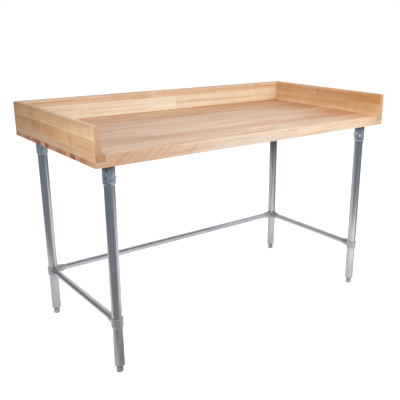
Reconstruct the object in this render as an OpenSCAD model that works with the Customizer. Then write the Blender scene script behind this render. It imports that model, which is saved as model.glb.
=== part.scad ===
// Bakers' butcher block table: an edge-grain maple worktop with a coved riser on three sides,
// standing on four steel tube legs tied low down by a three-sided brace, on screw-in bullet feet.
// Frame: X along the length, front at -Y, floor at Z = 0, origin under the middle of the table.

/* [Worktop] */
// Length of the worktop
table_l = 1524; // [1219:1:2438]
// Depth of the worktop, front to back
table_d = 762; // [610:1:914]
// Height of the working surface above the floor
surface_h = 895; // [850:1:950]
// Thickness of the worktop
top_t = 44.5; // [38:0.5:58]
// Number of staves glued side by side across the depth
stave_count = 19; // [15:1:19]
// Radius of the vertical corners of the worktop and riser
corner_r = 5; // [2:0.5:8]
// Radius of the worktop's eased edges
edge_round = 2.5; // [1:0.5:4]

/* [Riser] */
// Height of the riser above the working surface
riser_h = 101.5; // [70:0.5:160]
// Thickness of the riser above its cove
riser_t = 25.4; // [23:0.1:32]
// Radius of the riser's rounded top edges
riser_round = 11; // [3:0.5:12]
// Height of the cove above the working surface
cove_h = 27; // [15:1:35]
// Depth of the rabbet that seats the riser in the worktop
rabbet_depth = 24; // [12:1:28]
// Height of the seam above the toe board
toe_seam_h = 5; // [2:0.5:10]
// Height of the upper seam on the two end risers
end_seam_h = 53; // [40:1:65]
// Height of the upper seam on the back riser
back_seam_h = 68; // [40:1:75]

/* [Legs] */
// Distance from each end of the worktop to the leg axes
leg_inset_x = 81; // [70:1:110]
// Distance from the front and back edges to the leg axes
leg_inset_y = 69; // [60:1:100]
// Outside diameter of the leg tube
leg_od = 41.3; // [38:0.1:45]
// Wall thickness of the leg tube
leg_wall = 1.6; // [1.2:0.1:3]

/* [Leg sockets] */
// Side of the square mounting plate
plate_w = 90; // [80:1:100]
// Thickness of the mounting plate
plate_t = 3.2; // [2:0.1:5]
// Distance between the plate's screws
screw_pitch = 68; // [60:1:72]
// Outside diameter of the socket
socket_od = 47.6; // [46:0.1:52]
// Length of the socket below the worktop
socket_l = 81; // [60:1:100]
// Distance of the set bolts below the worktop
set_bolt_drop = 53; // [30:1:65]

/* [Lower brace] */
// Height of the brace tubes' axes above the floor
brace_h = 220; // [120:1:500]
// Outside diameter of the brace tubes
brace_od = 28.6; // [25:0.1:32]
// Wall thickness of the brace tubes
brace_wall = 1.5; // [1:0.1:2.5]
// Outside diameter of the collars round the legs
collar_od = 47.4; // [46:0.1:54]
// Height of the collars
collar_l = 39; // [34:1:50]
// Outside diameter of the collars' brace sockets
brace_socket_od = 34.6; // [33:0.1:38]
// Distance from the leg axis to the mouth of a brace socket
brace_socket_reach = 50; // [42:1:65]

/* [Feet] */
// Height of the leg tube's lower end above the floor
leg_end_h = 36; // [35:1:45]
// Diameter of the bullet foot
foot_d = 27; // [24:0.5:30]
// Height of the bullet foot
foot_h = 24; // [20:1:26]
// Diameter of the threaded stem
stem_d = 12.6; // [10:0.1:14]

/* [Hidden] */
$fn = 64;

// Staves are one width to the nearest 0.1 mm, but the rear one takes up the rest. The riser's
// toe covers the rear stave, and is as wide at the ends
stave_w = floor(10 * table_d / stave_count) / 10;
rear_stave_w = table_d - (stave_count - 1) * stave_w;
toe_w = rear_stave_w;
underside_h = surface_h - top_t;
front_y = -table_d / 2;
end_x = table_l / 2;

// The cove is an arc that leaves the riser's face upright and runs out on the working surface
cove_out = toe_w - riser_t;
cove_r = (cove_h * cove_h + cove_out * cove_out) / (2 * cove_out);

// Leg positions, and for each corner the directions of its brace sockets and leg screw
leg_x = end_x - leg_inset_x;
leg_y = table_d / 2 - leg_inset_y;
leg_r = leg_od / 2;
FRONT_LEFT = [-1, -1];
FRONT_RIGHT = [1, -1];
BACK_LEFT = [-1, 1];
BACK_RIGHT = [1, 1];
CORNERS = [FRONT_LEFT, FRONT_RIGHT, BACK_LEFT, BACK_RIGHT];

// Clearances, and the small edges that the metal parts share
slip_gap = 0.35;
thread_gap = 0.05;
edge_bevel = 1.5;
eps = 1;

// Plate screws: hexagon-headed, with points that stop short of the rabbet above them
screw_r = 3.1;
screw_point_r = 0.8;
screw_tip = 4;
screw_cover = 1.5;
screw_bite = top_t - rabbet_depth - screw_tip - screw_cover;
screw_head_r = 6;
screw_head_t = 4;
plate_corner_r = 8;

// Hexagon heads: the share of the radius left flat, and the slope of the turned-down corners
head_flat = 0.88;
head_slope = 1.7;

// Set bolts of the leg sockets
bolt_r = 3.2;
bolt_stand = 2.0;
bolt_head_r = 4.8;
bolt_head_t = 4.4;

// Set screws of the collars and brace sockets
set_screw_r = 3.9;
set_screw_stand = 3.2;
hex_key_r = 2.3;
hex_key_depth = 4;
brace_screw_sink = 2;
boss_r = 8;
boss_stand = 2.4;
boss_reach = 35;
leg_screw_rise = 11;
leg_screw_pad_r = 5.5;
leg_screw_pad_stand = 0.6;

// Collars and leg sockets
collar_drop = 22;
collar_taper_h = 5;
collar_taper_in = 2;
socket_lip_h = 5;
socket_lip_wall = 0.8;
brace_seat = 25;

// Feet: the insert's plug and shoulder, the stem and the rounded nose
leg_top_h = underside_h - plate_t;
insert_plug_l = 26;
insert_drop = 8;
insert_end_r = 16;
stem_top_h = 72;
stem_foot_h = 7;
foot_round = 5;

WOOD_LIGHT = "wheat";
WOOD_MID = "burlywood";
WOOD_DARK = "tan";
ZINC = "lightslategray";
CAST = "gray";
BRIGHT = "silver";

// ---- Worktop ----

// Rectangle with rounded corners, centred
module rounded_rectangle(length, width, radius) {
    square([length - 2 * radius, width], center = true);
    square([length, width - 2 * radius], center = true);
    for (sx = [-1, 1])
        for (sy = [-1, 1])
            translate([sx * (length / 2 - radius), sy * (width / 2 - radius)])
                circle(r = radius);
}

// What an eased edge loses: along +X, with the wood on its +Y and +Z sides
module edge_waste(length) {
    translate([-eps, 0, 0])
        rotate([90, 0, 90])
            linear_extrude(length + 2 * eps)
                difference() {
                    translate([-eps, -eps])
                        square(edge_round + eps);
                    translate([edge_round, edge_round])
                        circle(r = edge_round);
                }
}

// The worktop's plan as a block from z0 up to z1
module plan_block(z0, z1) {
    translate([0, 0, z0])
        linear_extrude(z1 - z0)
            rounded_rectangle(table_l, table_d, corner_r);
}

// One stave, counted from 0 at the front, with its end rabbets, eased edges and screw holes
module stave(index) {
    y0 = front_y + index * stave_w;
    body_l = table_l - 2 * toe_w;
    is_rear = index == stave_count - 1;
    width = is_rear ? rear_stave_w : stave_w;
    color(index % 3 == 0 ? WOOD_LIGHT : index % 3 == 1 ? WOOD_MID : WOOD_DARK)
        difference() {
            intersection() {
                union() {
                    translate([-end_x, y0, underside_h])
                        cube([table_l, width, top_t - rabbet_depth]);
                    if (!is_rear)
                        translate([-body_l / 2, y0, underside_h])
                            cube([body_l, width, top_t]);
                }
                plan_block(underside_h - eps, surface_h + eps);
            }
            for (side = [0, 1])
                mirror([side, 0, 0])
                    translate([-end_x, table_d / 2, underside_h])
                        rotate([0, 0, -90])
                            edge_waste(table_d);
            if (index == 0) {
                translate([-end_x, front_y, underside_h])
                    edge_waste(table_l);
                translate([-end_x, front_y, surface_h])
                    mirror([0, 0, 1])
                        edge_waste(table_l);
            }
            if (is_rear)
                translate([-end_x, -front_y, underside_h])
                    mirror([0, 1, 0])
                        edge_waste(table_l);
            for (corner = CORNERS)
                for (sx = [-1, 1])
                    for (sy = [-1, 1])
                        if (abs(screw_y(corner, sy) - y0 - width / 2) < width / 2 + screw_r)
                            translate([screw_x(corner, sx), screw_y(corner, sy), 0])
                                screw_shank();
        }
}

// ---- Riser ----

// Section of the whole riser: X is the distance in from its outer face, Y the height above
// the working surface
module riser_section() {
    difference() {
        translate([0, -rabbet_depth])
            square([toe_w, rabbet_depth + cove_h]);
        translate([riser_t + cove_r, cove_h])
            circle(r = cove_r);
    }
    square([riser_t, riser_h - riser_round]);
    translate([riser_round, 0])
        square([riser_t - 2 * riser_round, riser_h]);
    for (x = [riser_round, riser_t - riser_round])
        translate([x, riser_h - riser_round])
            circle(r = riser_round);
}

// The slice of the section between two seams
module riser_slice(low, high) {
    intersection() {
        riser_section();
        translate([0, low])
            square([toe_w, high - low]);
    }
}

// A board of the left riser, mitred at the back corner
module left_riser_board(low, high) {
    mitre = 2 * toe_w;
    intersection() {
        translate([-end_x, table_d / 2, surface_h])
            rotate([90, 0, 0])
                linear_extrude(table_d)
                    riser_slice(low, high);
        plan_block(surface_h - rabbet_depth - eps, surface_h + riser_h + eps);
        translate([-end_x, 0, surface_h - rabbet_depth - eps])
            linear_extrude(rabbet_depth + riser_h + 2 * eps)
                polygon([
                    [0, front_y],
                    [mitre, front_y],
                    [mitre, table_d / 2 - mitre],
                    [0, table_d / 2]
                ]);
    }
}

// A board of the back riser, mitred at both ends
module back_riser_board(low, high) {
    mitre = 2 * toe_w;
    intersection() {
        translate([-end_x, table_d / 2, surface_h])
            rotate([90, 0, 90])
                linear_extrude(table_l)
                    mirror([1, 0])
                        riser_slice(low, high);
        plan_block(surface_h - rabbet_depth - eps, surface_h + riser_h + eps);
        translate([0, table_d / 2, surface_h - rabbet_depth - eps])
            linear_extrude(rabbet_depth + riser_h + 2 * eps)
                polygon([
                    [-end_x, 0],
                    [-end_x + mitre, -mitre],
                    [end_x - mitre, -mitre],
                    [end_x, 0]
                ]);
    }
}

module left_riser_toe_board() {
    color(WOOD_DARK) left_riser_board(-rabbet_depth, toe_seam_h);
}

module left_riser_cove_board() {
    color(WOOD_MID) left_riser_board(toe_seam_h, end_seam_h);
}

module left_riser_top_board() {
    color(WOOD_LIGHT) left_riser_board(end_seam_h, riser_h);
}

module right_riser_toe_board() {
    color(WOOD_DARK) mirror([1, 0, 0]) left_riser_board(-rabbet_depth, toe_seam_h);
}

module right_riser_cove_board() {
    color(WOOD_MID) mirror([1, 0, 0]) left_riser_board(toe_seam_h, end_seam_h);
}

module right_riser_top_board() {
    color(WOOD_LIGHT) mirror([1, 0, 0]) left_riser_board(end_seam_h, riser_h);
}

module back_riser_toe_board() {
    color(WOOD_DARK) back_riser_board(-rabbet_depth, toe_seam_h);
}

module back_riser_cove_board() {
    color(WOOD_LIGHT) back_riser_board(toe_seam_h, back_seam_h);
}

module back_riser_top_board() {
    color(WOOD_MID) back_riser_board(back_seam_h, riser_h);
}

// ---- Legs and their sockets ----

// Moves a part to a corner's leg axis
module at_leg(corner) {
    translate([corner[0] * leg_x, corner[1] * leg_y, 0])
        children();
}

// Turns a part built along +X to face an angle, at a height on the leg axis
module facing(angle, height) {
    translate([0, 0, height])
        rotate([0, 0, angle])
            rotate([0, 90, 0])
                children();
}

// The two set bolts stand on the side of the leg that faces the middle of the table
function bolt_angles(corner) = corner[0] < 0 ? [-45, 45] : [135, 225];

function screw_x(corner, side) = corner[0] * leg_x + side * screw_pitch / 2;

function screw_y(corner, side) = corner[1] * leg_y + side * screw_pitch / 2;

// Hexagon bolt head along +Z
module hex_head(radius, height) {
    flat_r = radius * head_flat;
    intersection() {
        cylinder(r = radius, h = height, $fn = 6);
        cylinder(r1 = flat_r + height * head_slope, r2 = flat_r, h = height);
    }
}

// The part of a plate screw inside the wood, with its point
module screw_shank() {
    translate([0, 0, underside_h - eps])
        cylinder(r = screw_r, h = screw_bite + eps);
    translate([0, 0, underside_h + screw_bite])
        cylinder(r1 = screw_r, r2 = screw_point_r, h = screw_tip);
}

module leg_socket(corner) {
    hole_r = leg_r + slip_gap;
    socket_r = socket_od / 2;
    color(ZINC)
        at_leg(corner)
            difference() {
                union() {
                    translate([0, 0, underside_h - plate_t])
                        linear_extrude(plate_t)
                            rounded_rectangle(plate_w, plate_w, plate_corner_r);
                    translate([0, 0, underside_h - socket_l + socket_lip_h])
                        cylinder(r = socket_r, h = socket_l - socket_lip_h - plate_t);
                    translate([0, 0, underside_h - socket_l])
                        cylinder(r1 = hole_r + socket_lip_wall, r2 = socket_r, h = socket_lip_h);
                }
                translate([0, 0, underside_h - socket_l - eps])
                    cylinder(r = hole_r, h = socket_l - plate_t + eps);
                for (sx = [-1, 1])
                    for (sy = [-1, 1])
                        translate([sx, sy, 0] * screw_pitch / 2 + [0, 0, underside_h - plate_t - eps])
                            cylinder(r = screw_r, h = plate_t + 2 * eps);
                for (angle = bolt_angles(corner))
                    facing(angle, underside_h - set_bolt_drop)
                        cylinder(r = bolt_r, h = socket_od);
            }
}

module leg(corner) {
    color(ZINC)
        at_leg(corner)
            translate([0, 0, leg_end_h])
                difference() {
                    cylinder(r = leg_r, h = leg_top_h - leg_end_h);
                    translate([0, 0, -eps])
                        cylinder(r = leg_r - leg_wall, h = leg_top_h - leg_end_h + 2 * eps);
                }
}

// Sixteen hexagon-headed screws hold the four plates up to the worktop
module plate_screws() {
    color(BRIGHT)
        for (corner = CORNERS)
            for (sx = [-1, 1])
                for (sy = [-1, 1])
                    translate([screw_x(corner, sx), screw_y(corner, sy), 0]) {
                        screw_shank();
                        translate([0, 0, underside_h - plate_t])
                            cylinder(r = screw_r, h = plate_t);
                        translate([0, 0, underside_h - plate_t])
                            mirror([0, 0, 1])
                                hex_head(screw_head_r, screw_head_t);
                    }
}

// Eight set bolts clamp the legs in their sockets
module socket_set_bolts() {
    color(BRIGHT)
        for (corner = CORNERS)
            at_leg(corner)
                for (angle = bolt_angles(corner))
                    facing(angle, underside_h - set_bolt_drop) {
                        translate([0, 0, leg_r])
                            cylinder(r = bolt_r, h = socket_od / 2 + bolt_stand - leg_r);
                        translate([0, 0, socket_od / 2 + bolt_stand])
                            hex_head(bolt_head_r, bolt_head_t);
                    }
}

// ---- Feet ----

// Plug pressed into the leg's lower end, with a rounded shoulder and a bore for the stem
module foot_insert(corner) {
    shoulder = leg_r - insert_end_r;
    color(ZINC)
        at_leg(corner)
            difference() {
                union() {
                    translate([0, 0, leg_end_h])
                        cylinder(r = leg_r - leg_wall, h = insert_plug_l);
                    translate([0, 0, leg_end_h - insert_drop])
                        cylinder(r = insert_end_r, h = insert_drop);
                    translate([0, 0, leg_end_h - insert_drop + shoulder])
                        cylinder(r = leg_r, h = insert_drop - shoulder);
                    translate([0, 0, leg_end_h - insert_drop + shoulder])
                        rotate_extrude()
                            translate([insert_end_r, 0])
                                intersection() {
                                    circle(r = shoulder);
                                    translate([0, -shoulder])
                                        square(shoulder);
                                }
                }
                translate([0, 0, leg_end_h - insert_drop - eps])
                    cylinder(d = stem_d + 2 * thread_gap, h = insert_drop + insert_plug_l + 2 * eps);
            }
}

module foot_stem(corner) {
    color(BRIGHT)
        at_leg(corner)
            translate([0, 0, stem_foot_h])
                cylinder(d = stem_d, h = stem_top_h - stem_foot_h);
}

// Round-nosed foot with a blind hole that holds the stem
module bullet_foot(corner) {
    foot_r = foot_d / 2;
    color(ZINC)
        at_leg(corner)
            difference() {
                union() {
                    translate([0, 0, foot_round])
                        cylinder(r = foot_r, h = foot_h - foot_round - edge_bevel);
                    translate([0, 0, foot_h - edge_bevel])
                        cylinder(r1 = foot_r, r2 = foot_r - edge_bevel, h = edge_bevel);
                    cylinder(r = foot_r - foot_round, h = foot_round);
                    translate([0, 0, foot_round])
                        rotate_extrude()
                            translate([foot_r - foot_round, 0])
                                intersection() {
                                    circle(r = foot_round);
                                    translate([0, -foot_round])
                                        square(foot_round);
                                }
                }
                translate([0, 0, stem_foot_h])
                    cylinder(d = stem_d, h = foot_h);
            }
}

// ---- Lower brace ----

// Directions of the brace sockets on each corner's collar
function socket_angles(corner) =
    corner == FRONT_LEFT || corner == FRONT_RIGHT ? [90] :
    corner == BACK_LEFT ? [-90, 0] : [-90, 180];

// Direction of the screw that locks each collar to its leg
function leg_screw_angle(corner) =
    corner == FRONT_LEFT ? 0 :
    corner == FRONT_RIGHT ? 180 :
    corner == BACK_LEFT ? 135 : 45;

// Cast collar: a ring round the leg with one or two sockets, each with a set screw boss on
// its right-hand side as seen from the leg
module brace_collar(corner) {
    collar_r = collar_od / 2;
    socket_r = brace_socket_od / 2;
    low = brace_h - collar_drop;
    bore_l = max(collar_l, collar_drop + leg_screw_rise + leg_screw_pad_r) + 2 * eps;
    color(CAST)
        at_leg(corner)
            difference() {
                union() {
                    translate([0, 0, low])
                        cylinder(r1 = collar_r - collar_taper_in, r2 = collar_r, h = collar_taper_h);
                    translate([0, 0, low + collar_taper_h])
                        cylinder(r = collar_r, h = collar_l - collar_taper_h - edge_bevel);
                    translate([0, 0, low + collar_l - edge_bevel])
                        cylinder(r1 = collar_r, r2 = collar_r - edge_bevel, h = edge_bevel);
                    for (angle = socket_angles(corner))
                        facing(angle, brace_h) {
                            cylinder(r = socket_r, h = brace_socket_reach - edge_bevel);
                            translate([0, 0, brace_socket_reach - edge_bevel])
                                cylinder(r1 = socket_r, r2 = socket_r - edge_bevel, h = edge_bevel);
                            translate([0, 0, boss_reach])
                                rotate([90, 0, 0])
                                    cylinder(r = boss_r, h = socket_r + boss_stand);
                        }
                    facing(leg_screw_angle(corner), brace_h + leg_screw_rise)
                        cylinder(r = leg_screw_pad_r, h = collar_r + leg_screw_pad_stand);
                }
                translate([0, 0, low - eps])
                    cylinder(r = leg_r + slip_gap, h = bore_l);
                for (angle = socket_angles(corner))
                    facing(angle, brace_h) {
                        translate([0, 0, brace_seat])
                            cylinder(d = brace_od + 2 * thread_gap, h = brace_socket_reach);
                        translate([0, 0, boss_reach])
                            rotate([90, 0, 0])
                                cylinder(r = set_screw_r, h = collar_od);
                    }
                facing(leg_screw_angle(corner), brace_h + leg_screw_rise)
                    cylinder(r = set_screw_r, h = collar_od);
            }
}

// Tube from one brace socket to the one facing it
module brace_tube(length) {
    translate([0, 0, -length / 2])
        difference() {
            cylinder(d = brace_od, h = length);
            translate([0, 0, -eps])
                cylinder(d = brace_od - 2 * brace_wall, h = length + 2 * eps);
        }
}

module left_brace_tube() {
    color(ZINC)
        translate([-leg_x, 0, brace_h])
            rotate([90, 0, 0])
                brace_tube(2 * (leg_y - brace_seat));
}

module right_brace_tube() {
    color(ZINC)
        mirror([1, 0, 0])
            left_brace_tube();
}

module back_brace_tube() {
    color(ZINC)
        translate([0, leg_y, brace_h])
            rotate([0, 90, 0])
                brace_tube(2 * (leg_x - brace_seat));
}

// Socket-headed set screw along +Z, from its point to its hexagon recess
module set_screw(from, to) {
    translate([0, 0, from])
        difference() {
            cylinder(r = set_screw_r, h = to - from);
            translate([0, 0, to - from - hex_key_depth])
                cylinder(r = hex_key_r, h = hex_key_depth + eps, $fn = 6);
        }
}

// Four screws lock the collars to the legs
module collar_set_screws() {
    color(BRIGHT)
        for (corner = CORNERS)
            at_leg(corner)
                facing(leg_screw_angle(corner), brace_h + leg_screw_rise)
                    set_screw(leg_r + slip_gap / 2, collar_od / 2 + set_screw_stand);
}

// Six screws grip the brace tubes, sunk just inside their bosses
module brace_set_screws() {
    color(BRIGHT)
        for (corner = CORNERS)
            at_leg(corner)
                for (angle = socket_angles(corner))
                    facing(angle, brace_h)
                        translate([0, 0, boss_reach])
                            rotate([90, 0, 0])
                                set_screw(
                                    brace_od / 2,
                                    brace_socket_od / 2 + boss_stand - brace_screw_sink
                                );
}

stave(0);  // top_stave_01
stave(1);  // top_stave_02
stave(2);  // top_stave_03
stave(3);  // top_stave_04
stave(4);  // top_stave_05
stave(5);  // top_stave_06
stave(6);  // top_stave_07
stave(7);  // top_stave_08
stave(8);  // top_stave_09
stave(9);  // top_stave_10
stave(10);  // top_stave_11
stave(11);  // top_stave_12
stave(12);  // top_stave_13
stave(13);  // top_stave_14
stave(14);  // top_stave_15
stave(15);  // top_stave_16
stave(16);  // top_stave_17
stave(17);  // top_stave_18
stave(18);  // top_stave_19
back_riser_toe_board();
back_riser_cove_board();
back_riser_top_board();
left_riser_toe_board();
left_riser_cove_board();
left_riser_top_board();
right_riser_toe_board();
right_riser_cove_board();
right_riser_top_board();
leg_socket(FRONT_LEFT);  // front_left_leg_socket
leg_socket(FRONT_RIGHT);  // front_right_leg_socket
leg_socket(BACK_LEFT);  // back_left_leg_socket
leg_socket(BACK_RIGHT);  // back_right_leg_socket
leg(FRONT_LEFT);  // front_left_leg
leg(FRONT_RIGHT);  // front_right_leg
leg(BACK_LEFT);  // back_left_leg
leg(BACK_RIGHT);  // back_right_leg
foot_insert(FRONT_LEFT);  // front_left_foot_insert
foot_insert(FRONT_RIGHT);  // front_right_foot_insert
foot_insert(BACK_LEFT);  // back_left_foot_insert
foot_insert(BACK_RIGHT);  // back_right_foot_insert
foot_stem(FRONT_LEFT);  // front_left_foot_stem
foot_stem(FRONT_RIGHT);  // front_right_foot_stem
foot_stem(BACK_LEFT);  // back_left_foot_stem
foot_stem(BACK_RIGHT);  // back_right_foot_stem
bullet_foot(FRONT_LEFT);  // front_left_bullet_foot
bullet_foot(FRONT_RIGHT);  // front_right_bullet_foot
bullet_foot(BACK_LEFT);  // back_left_bullet_foot
bullet_foot(BACK_RIGHT);  // back_right_bullet_foot
brace_collar(FRONT_LEFT);  // front_left_brace_collar
brace_collar(FRONT_RIGHT);  // front_right_brace_collar
brace_collar(BACK_LEFT);  // back_left_brace_collar
brace_collar(BACK_RIGHT);  // back_right_brace_collar
left_brace_tube();
right_brace_tube();
back_brace_tube();
plate_screws();
socket_set_bolts();
collar_set_screws();
brace_set_screws();
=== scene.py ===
"""Looks of the bakers' butcher block table: maple staves and riser boards, galvanised tube legs with
cast collars, and threaded feet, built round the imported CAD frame. Everything is in metres."""

import math

import bmesh
import bpy
from mathutils import Matrix, Vector


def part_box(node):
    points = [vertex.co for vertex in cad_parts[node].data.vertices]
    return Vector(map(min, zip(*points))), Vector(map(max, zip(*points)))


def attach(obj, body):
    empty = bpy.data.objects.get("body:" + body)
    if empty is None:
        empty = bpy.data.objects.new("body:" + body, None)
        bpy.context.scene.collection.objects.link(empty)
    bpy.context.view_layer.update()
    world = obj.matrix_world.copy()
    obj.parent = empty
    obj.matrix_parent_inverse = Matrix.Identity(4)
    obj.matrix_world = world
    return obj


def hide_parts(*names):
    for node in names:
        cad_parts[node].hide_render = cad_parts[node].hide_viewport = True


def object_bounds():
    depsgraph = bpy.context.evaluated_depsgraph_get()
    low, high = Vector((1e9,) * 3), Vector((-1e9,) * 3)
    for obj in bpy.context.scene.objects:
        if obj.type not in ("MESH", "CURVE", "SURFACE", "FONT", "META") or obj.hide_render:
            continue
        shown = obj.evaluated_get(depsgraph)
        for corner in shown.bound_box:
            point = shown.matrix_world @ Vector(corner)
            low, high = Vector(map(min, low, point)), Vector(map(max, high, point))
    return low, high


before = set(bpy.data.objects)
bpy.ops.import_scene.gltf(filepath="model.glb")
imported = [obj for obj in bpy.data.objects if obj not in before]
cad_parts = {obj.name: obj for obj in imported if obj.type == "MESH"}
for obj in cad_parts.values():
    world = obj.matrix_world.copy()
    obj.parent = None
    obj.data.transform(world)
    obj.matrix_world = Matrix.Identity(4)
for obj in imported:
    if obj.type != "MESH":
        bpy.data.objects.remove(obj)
CAD_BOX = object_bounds()

# ---- Sizes, worked out from the frame ----

SURFACE_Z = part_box("top_stave_02")[1].z
END_X = CAD_BOX[1].x
EDGE_Y = CAD_BOX[1].y
STAVE_COUNT = sum(name.startswith("top_stave_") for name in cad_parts)
CORNERS = ("front_left", "front_right", "back_left", "back_right")


def tone(red, green, blue, share=1.0):
    """A colour given as screen values from 0 to 255, as the linear colour that shaders use."""

    def linear(value):
        value /= 255
        return share * (value / 12.92 if value <= 0.04045 else ((value + 0.055) / 1.055) ** 2.4)

    return (linear(red), linear(green), linear(blue), 1.0)


def grey(value):
    return (value, value, value, 1.0)


# ---- Node trees ----


class Graph:
    """The nodes of one material or world, added one at a time."""

    def __init__(self, owner):
        owner.use_nodes = True
        self.owner = owner
        self.tree = owner.node_tree
        self.tree.nodes.clear()

    def add(self, kind, inputs, **settings):
        node = self.tree.nodes.new("ShaderNode" + kind)
        for key, value in settings.items():
            setattr(node, key, value)
        for socket, value in inputs.items():
            if isinstance(value, bpy.types.NodeSocket):
                self.tree.links.new(value, node.inputs[socket])
            else:
                node.inputs[socket].default_value = value
        return node

    def math(self, operation, *values):
        return self.add("Math", dict(enumerate(values)), operation=operation).outputs[0]

    def scaled(self, vector, factors):
        return self.add("VectorMath", {0: vector, 1: factors}, operation="MULTIPLY").outputs[0]

    def noise(self, vector, detail=2.0, roughness=0.5, distortion=0.0):
        inputs = {"Vector": vector, "Scale": 1.0, "Detail": detail}
        inputs.update({"Roughness": roughness, "Distortion": distortion})
        return self.add("TexNoise", inputs).outputs[0]

    def spread(self, value, low, high, to_low=0.0, to_high=1.0):
        """Maps low..high to to_low..to_high, smoothly and clamped."""
        inputs = {"Value": value, "From Min": low, "From Max": high}
        inputs.update({"To Min": to_low, "To Max": to_high})
        return self.add("MapRange", inputs, interpolation_type="SMOOTHSTEP").outputs[0]

    def weigh(self, start, *terms):
        """start plus each term's weight times what its value has over a half."""
        total = start
        for value, weight in terms:
            total = self.math("ADD", total, self.math("MULTIPLY_ADD", value, weight, -0.5 * weight))
        return total

    def mix(self, factor, first, second, blend="MIX"):
        inputs = {0: factor, 6: first, 7: second}
        return self.add("Mix", inputs, data_type="RGBA", blend_type=blend).outputs[2]

    def ramp(self, factor, stops, steps=False):
        node = self.add("ValToRGB", {0: factor})
        ramp = node.color_ramp
        ramp.interpolation = "CONSTANT" if steps else "LINEAR"
        while len(ramp.elements) < len(stops):
            ramp.elements.new(1.0)
        while len(ramp.elements) > len(stops):
            ramp.elements.remove(ramp.elements[-1])
        for element, (place, colour) in zip(ramp.elements, stops):
            element.position = place
            element.color = colour
        return node.outputs[0]

    def finish(self, colour, roughness, height, bump, **shader):
        """Ends a material in a Principled shader, with a bump from height in metres."""
        inputs = {"Height": height, "Strength": 1.0, "Distance": bump}
        normal = self.add("Bump", inputs).outputs[0]
        inputs = {"Base Color": colour, "Roughness": roughness, "Normal": normal}
        inputs.update({key.replace("_", " "): value for key, value in shader.items()})
        surface = self.add("BsdfPrincipled", inputs)
        self.add("OutputMaterial", {"Surface": surface.outputs[0]})
        return self.owner


# ---- Wood ----

WOOD_SHARE = 0.66       # what the wood reflects, against how bright it looks in the studio's light
LIGHT_GRAIN = (1.055, 1.08, 1.07, 1.0)
DARK_GRAIN = (0.83, 0.635, 0.485, 1.0)
JOINT_HALF = 0.0007     # half the width of the line where two lengths meet
RINGS_PER_METRE = 290.0
PALE_STRIP = 0.014      # how high the pale strip along a riser board's foot is
ARRIS_FOOT = 0.0045     # how far below the surface the painted highlight along the front edge's arris starts
ARRIS_HEAD = 0.002
SLANT_ALONG = 84.0      # slanting lines a metre along the front edge, and up it
SLANT_UP = 116.0
PALE_TINT = (1.17, 1.22, 1.26, 1.0)
UNDER_TINT = (0.9, 0.86, 0.8, 1.0)
LINE_TINT = (0.74, 0.58, 0.46, 1.0)
ARRIS_HIGHLIGHT_TINT = (1.2, 1.08, 0.94, 1.0)
MARK_TINT = (0.5, 0.34, 0.24, 1.0)
JOINT_TINT = (0.4, 0.28, 0.2, 1.0)
UNDERSIDE_SHADE_TINT = (0.74, 0.82, 0.92, 1.0)
PALE_END_GRAIN = (1.15, 1.17, 1.2, 1.0)
DARK_END_GRAIN = (0.72, 0.58, 0.46, 1.0)
FRONT_SHADE = 0.32      # the even shade towards which the figure calms down on the front edge


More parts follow.
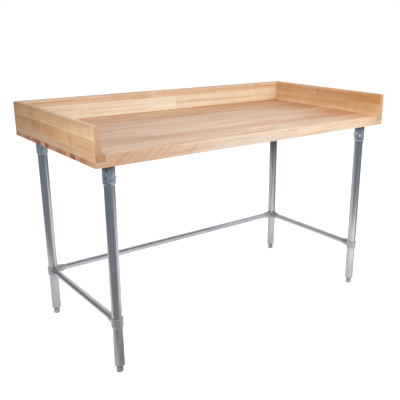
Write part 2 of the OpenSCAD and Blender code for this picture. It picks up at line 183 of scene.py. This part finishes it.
def maple(name, along, tones, joints, seed, pith, end_tone, slope=0.012, curl=0.0, strip=None,
          marks=(), figure=1.0, cap_sheen_and_shade=None, front=None, rear=None):
    """Maple with its grain along X or Y. tones lists (share of the run, tone), joints the shares at
    which one length of wood meets the next, marks (run, across, length, width) of dark marks. pith is
    the centre of the growth rings across the board, and slope how they climb along it. strip gives the
    heights of a pale strip's foot and head and of the board's top, and how plain the strip is. cap has
    a tint for what faces up, and how far up: a pale tint is a painted sheen, a dark one painted shade.
    rear tints what faces back. front has a front face's tones, and the share over which rings slant;
    that face also gets a painted highlight along its top edge."""
    g = Graph(bpy.data.materials.new(name))
    place = g.add("TexCoord", {})
    x, y, z = g.add("SeparateXYZ", {0: place.outputs["Object"]}).outputs
    nx, ny, nz = g.add("SeparateXYZ", {0: place.outputs["Normal"]}).outputs
    run, side, end_normal, half = (x, y, nx, END_X) if along == "X" else (y, x, ny, EDGE_Y)
    share = g.math("MULTIPLY_ADD", run, 0.5 / half, 0.5)
    base = g.ramp(share, [(at, tone(*seen, WOOD_SHARE)) for at, seen in tones])
    upright = g.spread(nz, 0.7, 0.4)
    if front:
        face = g.ramp(share, [(at, tone(*seen, WOOD_SHARE)) for at, seen in front[0]])
        base = g.mix(upright, base, face)

    # Each length of wood has its own place in the figure, and its own tone
    starts = enumerate([0.0] + list(joints))
    length = g.ramp(share, [(at, grey((i * 0.37 + seed * 0.291) % 1)) for i, at in starts], steps=True)
    far = g.math("ADD", run, g.math("MULTIPLY_ADD", length, 7.0, seed * 3.1))

    def stretched(per_metre, across):
        return g.add("CombineXYZ", {0: g.math("MULTIPLY", far, per_metre),
                                    1: g.math("MULTIPLY", side, across),
                                    2: g.math("MULTIPLY", z, across)}).outputs[0]

    # Growth rings round the pith, which wanders a little along the board
    wander = g.weigh(0.0, (g.noise(stretched(1.6, 5.0), 2.0), 0.04), (length, 0.03))
    off_side = g.math("ADD", g.math("SUBTRACT", side, pith[0]), wander)
    off_z = g.math("MULTIPLY_ADD", run, slope, g.math("SUBTRACT", z, pith[1]))
    radius = g.math("SQRT", g.math("ADD", g.math("POWER", off_side, 2.0), g.math("POWER", off_z, 2.0)))
    uneven = g.noise(stretched(3.0, 30.0), 3.0)
    rings = g.math("MULTIPLY_ADD", radius, RINGS_PER_METRE, g.math("MULTIPLY", uneven, 2.0))
    rings = g.math("FRACT", rings)
    late_wood = g.math("MULTIPLY", g.spread(rings, 0.3, 0.95), g.spread(rings, 1.0, 0.96))

    # Broad bands, clouds, thin streaks and short fibres
    bands = g.noise(stretched(0.9, 24.0), 2.0, 0.55)
    clouds = g.noise(stretched(7.0, 13.0), 2.0)
    streaks = g.noise(stretched(2.0, 75.0), 4.0, 0.65)
    dark_streaks = g.spread(streaks, 0.56, 0.63)
    fibre = g.noise(stretched(24.0, 1400.0), 2.0, 0.7)
    fleck = g.spread(g.noise(stretched(55.0, 420.0), 1.0), 0.66, 0.8)
    waves = g.noise(stretched(17.0, 6.0), 3.0, 0.6, 0.8)

    shade = g.weigh(0.4, (bands, 1.5 * figure), (clouds, 0.55 * figure), (streaks, 1.5 * figure),
                    (dark_streaks, 0.8 * figure), (late_wood, 0.22 * figure), (fibre, 0.4),
                    (fleck, 0.2), (waves, curl), (length, 0.75 * figure))
    shade = g.math("ADD", shade, 0.3 * figure + 0.1)
    if front:
        calm = g.math("MULTIPLY", upright, 0.6)
        shade = g.math("MULTIPLY_ADD", g.math("SUBTRACT", FRONT_SHADE, shade), calm, shade)
    colour = g.mix(1.0, base, g.mix(shade, LIGHT_GRAIN, DARK_GRAIN), "MULTIPLY")
    if front:
        slant = g.math("MULTIPLY", run, SLANT_ALONG)
        slant = g.math("SUBTRACT", slant, g.math("MULTIPLY", z, SLANT_UP))
        slant = g.math("ADD", slant, g.weigh(0.0, (g.noise(stretched(5.0, 9.0)), 5.0)))
        slanted = g.add("CombineXYZ", {0: slant, 1: g.math("MULTIPLY", z, 6.0)}).outputs[0]
        slanted = g.noise(slanted, 3.0)
        curly = g.noise(stretched(60.0, 150.0), 3.0, 0.6, 1.4)
        inside = g.spread(share, front[1] + 0.04, front[1] - 0.04)
        curls = g.spread(curly, 0.54, 0.66, 0.0, 0.3)
        lines = g.mix(inside, curls, g.spread(slanted, 0.48, 0.62, 0.0, 0.5))
        colour = g.mix(g.math("MULTIPLY", lines, upright), colour, LINE_TINT, "MULTIPLY")
        # A painted highlight along the front face's top arris
        arris_highlight = g.spread(z, SURFACE_Z - ARRIS_FOOT, SURFACE_Z - ARRIS_HEAD)
        colour = g.mix(g.math("MULTIPLY", arris_highlight, upright), colour, ARRIS_HIGHLIGHT_TINT, "MULTIPLY")
    # Painted sheen on what faces up where the tint is pale, painted shade where it is dark
    if cap_sheen_and_shade:
        tint, tilt = cap_sheen_and_shade
        colour = g.mix(g.spread(nz, tilt, tilt + 0.3), colour, tint, "MULTIPLY")
    if rear:
        colour = g.mix(g.spread(ny, 0.5, 0.8), colour, rear, "MULTIPLY")
    if strip:
        foot, head, top, plain = strip
        inside = g.math("MULTIPLY", g.spread(z, head, foot), g.spread(z, foot - 0.001, foot))
        colour = g.mix(g.math("MULTIPLY", inside, plain), colour, PALE_TINT, "MULTIPLY")
        under = g.math("MULTIPLY", g.spread(z, foot, top), plain)
        colour = g.mix(under, colour, UNDER_TINT, "MULTIPLY")
    for at, across, long, wide in marks:
        off = g.add("CombineXYZ", {0: g.math("MULTIPLY", g.math("SUBTRACT", run, at), 1 / long),
                                   1: g.math("MULTIPLY", g.math("SUBTRACT", side, across), 1 / wide)})
        off = g.add("VectorMath", {0: off.outputs[0]}, operation="LENGTH").outputs["Value"]
        mark = g.spread(g.math("ADD", off, g.weigh(0.0, (uneven, 1.6))), 1.0, 0.2)
        colour = g.mix(g.math("MULTIPLY", mark, 0.6), colour, MARK_TINT, "MULTIPLY")
    for at in joints:
        gap = g.math("ABSOLUTE", g.math("SUBTRACT", run, (2 * at - 1) * half))
        line = g.spread(gap, JOINT_HALF, 0.3 * JOINT_HALF)
        colour = g.mix(g.math("MULTIPLY", line, 0.5), colour, JOINT_TINT, "MULTIPLY")

    # What faces down is painted darker and greyer, as shade
    colour = g.mix(g.spread(nz, -0.7, -0.9), colour, UNDERSIDE_SHADE_TINT, "MULTIPLY")

    # End grain: rings plain to see, with its pores as dots
    cut = g.spread(g.math("ABSOLUTE", end_normal), 0.7, 0.9)
    pores = g.spread(g.noise(stretched(0.5, 1500.0), 1.0), 0.5, 0.68)
    end_shade = g.weigh(0.5, (late_wood, 0.5), (pores, 0.35), (bands, 0.6))
    end = g.mix(end_shade, PALE_END_GRAIN, DARK_END_GRAIN)
    end = g.mix(1.0, end, tone(*end_tone, WOOD_SHARE), "MULTIPLY")
    colour = g.mix(cut, colour, end)
    height = g.weigh(0.0, (late_wood, 0.35), (fibre, 1.0))
    roughness = g.spread(g.noise(stretched(3.0, 60.0), 2.0), 0.3, 0.7, 0.36, 0.5)
    return g.finish(colour, roughness, height, 0.00005)


def dress(names, material):
    """Gives CAD nodes their material."""
    for name in names:
        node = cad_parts[name]
        node.data.materials.clear()
        node.data.materials.append(material)


# The tones of the worktop's staves, from pale sapwood to amber heartwood
CREAM = (229, 206, 186)
PALE = (221, 196, 176)
BLUSH = (214, 186, 164)
ROSE = (209, 176, 152)
TAUPE = (198, 160, 134)
SAND = (206, 166, 138)
TAN = (212, 169, 136)
PEACH = (224, 188, 156)
HONEY = (209, 159, 121)
AMBER = (202, 148, 107)
GOLD = (206, 146, 98)
END_PALE = (202, 158, 120)
END_MID = (192, 142, 104)
END_BROWN = (166, 112, 76)
END_RED = (150, 88, 54)
END_RUST = (180, 122, 80)

# Each stave from the front one: its tones at the left, middle, right and right end, and its end grain
# These tones are partly the wood's own: the paler, greyer ones at the left partly hold painted sheen,
# and the orange ones at the right end partly painted light thrown back from the right riser
STAVES = (
    (BLUSH, PALE, ROSE, TAN, END_PALE),
    (PALE, CREAM, BLUSH, TAN, END_MID),
    (PALE, PALE, ROSE, TAN, END_RUST),
    (TAUPE, SAND, SAND, HONEY, END_MID),
    (TAUPE, BLUSH, HONEY, GOLD, END_RED),
    (ROSE, PALE, BLUSH, GOLD, END_PALE),
    (ROSE, PALE, BLUSH, HONEY, END_RUST),
    (ROSE, PALE, ROSE, HONEY, END_BROWN),
    (BLUSH, PALE, BLUSH, TAN, END_MID),
    (ROSE, ROSE, BLUSH, TAN, END_MID),
    (ROSE, BLUSH, BLUSH, HONEY, END_RED),
    (ROSE, BLUSH, ROSE, AMBER, END_PALE),
    (ROSE, ROSE, ROSE, AMBER, END_RED),
    (SAND, SAND, TAN, AMBER, END_BROWN),
    (SAND, SAND, TAN, HONEY, END_MID),
    (SAND, SAND, HONEY, AMBER, END_BROWN),
    (TAN, TAN, HONEY, HONEY, END_MID),
    (PEACH, PEACH, HONEY, HONEY, END_MID),
    (TAN, TAN, HONEY, HONEY, END_BROWN),
)
TONE_PLACES = (0.16, 0.5, 0.78, 0.92)
# Dark marks on the working surface: stave, then distance along, length and width
MARKS = ((11, 0.088, 0.022, 0.008), (6, -0.432, 0.03, 0.012),
         (9, 0.488, 0.02, 0.01), (14, 0.25, 0.03, 0.007))
GOLDEN = 0.381966
# The front edge, from the left; its darker tones at the left are partly the wood's own and partly
# painted shade
FRONT_TONES = ((0.08, (202, 166, 137)), (0.22, (214, 188, 166)), (0.35, (225, 207, 192)),
               (0.5, (228, 213, 200)), (0.7, (229, 204, 182)), (0.9, (228, 201, 175)),
               (0.985, (213, 175, 142)))
FRONT_JOINTS = (0.037, 0.62)
FRONT_SLANT = 0.28


def stave_joints(index):
    """Where a stave's lengths meet: two places along it, spread unevenly from stave to stave."""
    return sorted((0.11 + GOLDEN * (2 * index + turn * 1.3)) % 0.86 + 0.07 for turn in range(2))


for index in range(STAVE_COUNT):
    name = f"top_stave_{index + 1:02d}"
    low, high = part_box(name)
    centre = (low.y + high.y) / 2
    pith = (centre + 0.03 * math.sin(index * 2.4), SURFACE_Z - 0.02 + 0.07 * math.cos(index * 1.7))
    tones = list(zip(TONE_PLACES, STAVES[index]))
    marks = [(at, centre, long, wide) for stave, at, long, wide in MARKS if stave == index + 1]
    joints, front = stave_joints(index), None
    if index == 0:
        joints, front = FRONT_JOINTS, (FRONT_TONES, FRONT_SLANT)
    dress([name], maple(f"maple_{name}", "X", tones, joints, index + 1, pith, STAVES[index][4],
                        marks=marks, front=front))

# ---- The riser's boards ----

# Tints for what faces up, with how far up it has to face: the lavender one is a painted sheen, the
# dusky one painted shade
LAVENDER_SHEEN = ((0.97, 1.08, 1.27, 1.0), 0.6)
DUSKY_SHADE = ((0.7, 0.72, 0.82, 1.0), 0.4)


def riser_board(side, part, tones, end_tone, curl, figure, strip, joints=(), cap_sheen_and_shade=None, rear=None):
    """One of the riser's boards. Its tones run from the front or the left, and strip is how far the
    pale strip along its foot stands out."""
    name = f"{side}_riser_{part}_board"
    low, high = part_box(name)
    middle = (low + high) / 2
    along, across = ("X", middle.y) if side == "back" else ("Y", middle.x)
    seed = 30 + sum(ord(letter) for letter in name) % 17
    pith = (across + 0.05, middle.z - 0.09)
    dress([name], maple(f"maple_{name}", along, tones, joints, seed, pith, end_tone, curl=curl,
                        strip=(low.z, low.z + PALE_STRIP, high.z, strip), figure=figure, cap_sheen_and_shade=cap_sheen_and_shade,
                        rear=rear))


# The left boards darken from front to back, partly in their own tone and partly as painted shade; the
# top board's upward faces get a painted sheen
riser_board("left", "top", [(0, (236, 198, 162)), (0.5, (216, 170, 124)), (1, (197, 155, 112))],
            (194, 156, 126), 1.9, 0.6, 0.8, cap_sheen_and_shade=LAVENDER_SHEEN)
riser_board("left", "cove", [(0, (236, 201, 162)), (0.45, (219, 168, 114)),
                             (0.75, (202, 160, 118)), (1, (195, 155, 108))],
            (186, 147, 114), 1.8, 0.6, 0.7)
riser_board("left", "toe", [(0, (224, 184, 145)), (0.5, (210, 174, 138)), (1, (196, 160, 122))],
            (176, 132, 96), 0.8, 0.5, 0.0)
# The back top board's upward faces get painted shade
riser_board("back", "top", [(0.1, (230, 199, 172)), (0.42, (225, 187, 154)), (0.45, (238, 212, 188)),
                            (0.8, (232, 196, 160)), (0.95, (236, 198, 164))],
            END_PALE, 0.7, 0.45, 0.2, joints=(0.443, 0.692), cap_sheen_and_shade=DUSKY_SHADE)
# The back cove is paler partly as painted light, most at the right end by the corner, and its upward
# faces get painted shade
riser_board("back", "cove", [(0.1, (250, 236, 214)), (0.5, (248, 234, 212)), (0.95, (249, 224, 192))],
            END_PALE, 0.6, 0.45, 0.0, joints=(0.531,), cap_sheen_and_shade=((0.86, 0.81, 0.74, 1.0), 0.1),
            rear=(0.88, 0.8, 0.7, 1.0))
riser_board("back", "toe", [(0.1, (202, 156, 120)), (0.5, (200, 150, 114)), (0.7, (190, 136, 98))],
            END_MID, 0.2, 0.8, 0.0, rear=(1.14, 1.2, 1.24, 1.0))
# The right boards' tones are lifted, some past white, partly as painted light for their shaded inner
# faces; their top and cove get painted shade on what faces up
riser_board("right", "top", [(0, (232, 165, 99)), (0.6, (258, 209, 157)), (0.9, (257, 200, 142)),
                             (1, (265, 210, 154))],
            (207, 155, 115), 1.9, 0.45, 0.4, cap_sheen_and_shade=DUSKY_SHADE)
riser_board("right", "cove", [(0, (262, 216, 160)), (1, (278, 234, 176))],
            (208, 163, 126), 1.2, 0.4, 0.1, cap_sheen_and_shade=((0.88, 0.87, 0.88, 1.0), 0.1))
riser_board("right", "toe", [(0, (244, 198, 152)), (1, (246, 200, 154))],
            (200, 156, 124), 0.4, 0.4, 0.0)

# ---- Metal ----

# The dark grey that painted shade on metal mixes in
SHADE_GREY = tone(52, 57, 64)


def metal(name, light, dark, spangle, spangle_size, roughness, drawn=0.3, along=2, bump=0.00002,
          shade_band=None, underside=0.0, metallic=1.0):
    """Zinc-coated, drawn or cast metal: crystals, cloudy patina, streaks along one axis, a fine tooth.
    A band of painted shade can be given by the height where the metal starts to darken, the height
    where it is darkest, and how dark. underside says how much painted shade the faces get that look
    down."""
    g = Graph(bpy.data.materials.new(name))
    place = g.add("TexCoord", {}).outputs["Object"]
    cells = g.add("TexVoronoi", {"Vector": place, "Scale": 1 / spangle_size, "Randomness": 1.0})
    crystal = g.add("SeparateColor", {0: cells.outputs["Color"]}).outputs[0]
    cloudy = [6.0 if axis == along else 24.0 for axis in range(3)]
    clouds = g.noise(g.scaled(place, cloudy), 4.0, 0.6, 0.6)
    streaky = [1.5 if axis == along else 170.0 for axis in range(3)]
    streaks = g.noise(g.scaled(place, streaky), 3.0, 0.6)
    tooth = g.noise(g.scaled(place, (1500.0, 1500.0, 1500.0)), 2.0)
    shade = g.weigh(0.5, (crystal, spangle), (clouds, 1.0), (streaks, drawn))
    tint = g.mix(shade, dark, light)
    # Painted shade in a band of heights
    if shade_band:
        start, darkest, strength = shade_band
        up = g.add("SeparateXYZ", {0: place}).outputs[2]
        tint = g.mix(g.spread(up, start, darkest, 0.0, strength), tint, SHADE_GREY)
    # Painted shade on faces that look down
    if underside:
        facing = g.add("SeparateXYZ", {0: g.add("TexCoord", {}).outputs["Normal"]}).outputs[2]
        tint = g.mix(g.spread(facing, -0.2, -0.6, 0.0, underside), tint, SHADE_GREY)
    rough = g.weigh(roughness, (clouds, -0.25), (crystal, 0.3 * spangle))
    height = g.weigh(0.0, (crystal, spangle), (tooth, 1.0))
    return g.finish(tint, rough, height, bump, Metallic=metallic)


def tube(name, along, light, dark, roughness, shade_band=None):
    """Drawn tube with its streaks along an axis."""
    return metal(name, light, dark, 0.12, 0.004, roughness, 2.4, along, shade_band=shade_band)


SOCKET_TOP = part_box("front_left_leg_socket")[1].z
# The sockets get painted shade just under the worktop and on their faces that look down
SPANGLED = metal("galvanised_socket", tone(226, 233, 243), tone(118, 127, 139), 0.62, 0.006, 0.36,
                 shade_band=(SOCKET_TOP - 0.042, SOCKET_TOP - 0.008, 0.85), underside=0.6)
CAST = metal("cast_alloy", tone(187, 188, 191), tone(162, 163, 166), 0.15, 0.002, 0.5, bump=0.00006)
PLATED = metal("plated_steel", tone(166, 167, 171), tone(136, 137, 141), 0.2, 0.003, 0.3)
BRIGHT = metal("bright_steel", tone(246, 246, 248), tone(222, 222, 224), 0.1, 0.002, 0.3, metallic=0.5)

LEG_LOOK = (tone(189, 190, 194), tone(154, 158, 164), 0.24)
# Painted shade: the other three legs darken a little toward the bottom, the back right leg toward its
# top
dress([f"{corner}_leg" for corner in CORNERS[:3]],
      tube("galvanised_leg", 2, *LEG_LOOK, shade_band=(0.2, 0.06, 0.14)))
dress(["back_right_leg"], tube("galvanised_back_right_leg", 2, *LEG_LOOK, shade_band=(0.5, 0.72, 0.75)))
dress(["left_brace_tube"],
      tube("galvanised_left_brace", 1, tone(200, 203, 207), tone(164, 168, 173), 0.2))
dress(["right_brace_tube"],
      tube("galvanised_right_brace", 1, tone(210, 213, 218), tone(182, 186, 192), 0.5))
dress(["back_brace_tube"],
      tube("galvanised_back_brace", 0, tone(194, 198, 205), tone(158, 163, 171), 0.2))
dress([f"{corner}_leg_socket" for corner in CORNERS], SPANGLED)
dress([f"{corner}_brace_collar" for corner in CORNERS], CAST)
dress([f"{corner}_foot_insert" for corner in CORNERS], PLATED)
dress([f"{corner}_bullet_foot" for corner in CORNERS], PLATED)
dress([f"{corner}_foot_stem" for corner in CORNERS], BRIGHT)
dress(["plate_screws", "socket_set_bolts", "collar_set_screws", "brace_set_screws"], BRIGHT)

# ---- Threaded stems of the feet ----

THREAD_PITCH = 0.00195      # 1/2-13 thread
THREAD_DEPTH = 0.6 * THREAD_PITCH
THREAD_SIDES = 28
RINGS_A_PITCH = 6


def threaded_rod(name, low, high):
    """A rod standing between two corners of a box, with a V thread and chamfered ends."""
    centre = (low + high) / 2
    crest = (high.x - low.x) / 2
    rings = round((high.z - low.z) / THREAD_PITCH * RINGS_A_PITCH)
    mesh = bmesh.new()
    rows = []
    for ring in range(rings + 1):
        rise = (high.z - low.z) * ring / rings
        chamfer = min(rise, high.z - low.z - rise)
        row = []
        for side in range(THREAD_SIDES):
            turn = side / THREAD_SIDES
            flank = abs(2 * ((rise / THREAD_PITCH - turn) % 1.0) - 1.0)
            radius = min(crest - THREAD_DEPTH * flank, crest - THREAD_DEPTH + chamfer)
            angle = math.tau * turn
            row.append(mesh.verts.new((centre.x + radius * math.cos(angle),
                                       centre.y + radius * math.sin(angle), low.z + rise)))
        rows.append(row)
    for below, above in zip(rows, rows[1:]):
        for side in range(THREAD_SIDES):
            after = (side + 1) % THREAD_SIDES
            mesh.faces.new((below[side], below[after], above[after], above[side]))
    mesh.faces.new(reversed(rows[0]))
    mesh.faces.new(rows[-1])
    data = bpy.data.meshes.new(name)
    mesh.to_mesh(data)
    mesh.free()
    data.materials.append(BRIGHT)
    rod = bpy.data.objects.new(name, data)
    bpy.context.scene.collection.objects.link(rod)
    return rod


for corner in CORNERS:
    stem = f"{corner}_foot_stem"
    thread = threaded_rod(f"{corner}_foot_thread", *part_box(stem))
    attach(thread, f"{corner}_foot")
    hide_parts(stem)

# ---- Floor, light and camera ----

CAMERA_AT = Vector((-1.606, -2.183, 1.3415))
CAMERA_YAW = math.radians(38.96)
CAMERA_PITCH = math.radians(-17.89)
CAMERA_ROLL = math.radians(0.55)
CAMERA_LENS = 53.15
CAMERA_SHIFT = (-0.0917, 0.0209)
FLOOR_SIZE = 80.0
POOL_TURN = CAMERA_YAW  # which way the lit pool's front side is turned
FAR_GLOW = (0.28, 0.48, 0.7, 1.0)


def pale_floor(size):
    """A white floor. In reflections it is bright only in the pool of light round the table, and
    bluish far away."""
    g = Graph(bpy.data.materials.new("pale_floor"))
    place = g.add("TexCoord", {}).outputs["Object"]
    x, y, _ = g.add("SeparateXYZ", {0: place}).outputs
    ahead = g.math("MULTIPLY", x, -math.sin(POOL_TURN))
    ahead = g.math("MULTIPLY_ADD", y, -math.cos(POOL_TURN), ahead)
    aside = g.math("ABSOLUTE", g.math("ADD", x, 0.15))
    unlit = g.math("MAXIMUM", g.spread(ahead, 0.6, 1.05), g.spread(aside, 1.15, 1.55))
    near = g.add("VectorMath", {0: place, 1: (-0.5, -0.55, 0.0)}, operation="DISTANCE").outputs["Value"]
    unlit = g.math("MAXIMUM", unlit, g.spread(near, 0.42, 0.2, 0.0, 0.85))
    away = g.add("VectorMath", {0: place}, operation="LENGTH").outputs["Value"]
    rays = g.add("LightPath", {}).outputs
    unlit = g.math("MULTIPLY", g.math("MULTIPLY", unlit, 0.78), rays["Is Glossy Ray"])
    shine = g.math("MULTIPLY_ADD", rays["Is Camera Ray"], 0.12, 0.26)
    clouds = g.noise(g.scaled(place, (0.7, 0.7, 0.7)), 2.0)
    colour = g.mix(unlit, g.mix(clouds, grey(0.91), grey(0.93)), grey(0.0))
    glow = g.mix(unlit, grey(1.0), g.mix(g.spread(away, 1.2, 2.4), grey(0.0), FAR_GLOW))
    bpy.ops.mesh.primitive_plane_add(size=size)
    floor = bpy.context.object
    floor.name = "floor"
    floor.data.materials.append(g.finish(colour, 0.9, clouds, 0.0001, Specular_IOR_Level=0.0,
                                         Emission_Color=glow, Emission_Strength=shine))


def studio_world():
    """White to the eye. As a light it is dimmer from the left, and reflections darken low on the
    left."""
    g = Graph(bpy.data.worlds.new("studio"))
    x, _, z = g.add("SeparateXYZ", {0: g.add("TexCoord", {}).outputs["Generated"]}).outputs
    diffuse = g.add("LightPath", {}).outputs["Is Diffuse Ray"]
    dimming = g.math("MULTIPLY", diffuse, g.spread(x, -0.7, 0.3, 0.5, 0.1))
    mirrored = g.add("LightPath", {}).outputs["Is Glossy Ray"]
    dusk = g.math("MULTIPLY", g.spread(x, 0.0, -0.25), g.spread(z, 0.7, 0.4))
    dusk = g.math("MULTIPLY", g.math("MULTIPLY", dusk, mirrored), 0.75)
    strength = g.math("SUBTRACT", 1.0, g.math("ADD", dimming, dusk))
    light = g.add("Background", {"Color": grey(1.0), "Strength": strength})
    g.add("OutputWorld", {"Surface": light.outputs[0]})
    bpy.context.scene.world = g.owner


def add_light(name, kind, place, target, energy, **settings):
    data = bpy.data.lights.new(name, kind)
    data.energy = energy
    for key, value in settings.items():
        setattr(data, key, value)
    light = bpy.data.objects.new(name, data)
    light.location = place
    light.rotation_euler = (Vector(target) - Vector(place)).to_track_quat("-Z", "Y").to_euler()
    light.visible_glossy = False
    light.visible_camera = False
    bpy.context.scene.collection.objects.link(light)


pale_floor(FLOOR_SIZE)
studio_world()
add_light("key", "AREA", (1.0, -3.0, 2.4), (0.0, 0.0, 0.85), 78.0, shape="SQUARE", size=1.6)
add_light("side_fill", "AREA", (-1.9, -0.85, 1.15), (-0.7, 0.0, 0.92), 12.0, shape="SQUARE", size=0.5)
add_light("overhead", "AREA", (0.2, -0.4, 2.4), (0.1, 0.0, 0.85), 13.0, shape="SQUARE", size=1.2)

camera_data = bpy.data.cameras.new("camera")
camera_data.lens = CAMERA_LENS
camera_data.sensor_width = 36.0
camera_data.shift_x, camera_data.shift_y = CAMERA_SHIFT
camera = bpy.data.objects.new("camera", camera_data)
aim = Matrix.Rotation(-CAMERA_YAW, 4, "Z") @ Matrix.Rotation(math.pi / 2 + CAMERA_PITCH, 4, "X")
camera.matrix_world = Matrix.Translation(CAMERA_AT) @ aim @ Matrix.Rotation(CAMERA_ROLL, 4, "Z")
bpy.context.scene.collection.objects.link(camera)
bpy.context.scene.camera = camera
bpy.context.scene.view_settings.view_transform = "Standard"
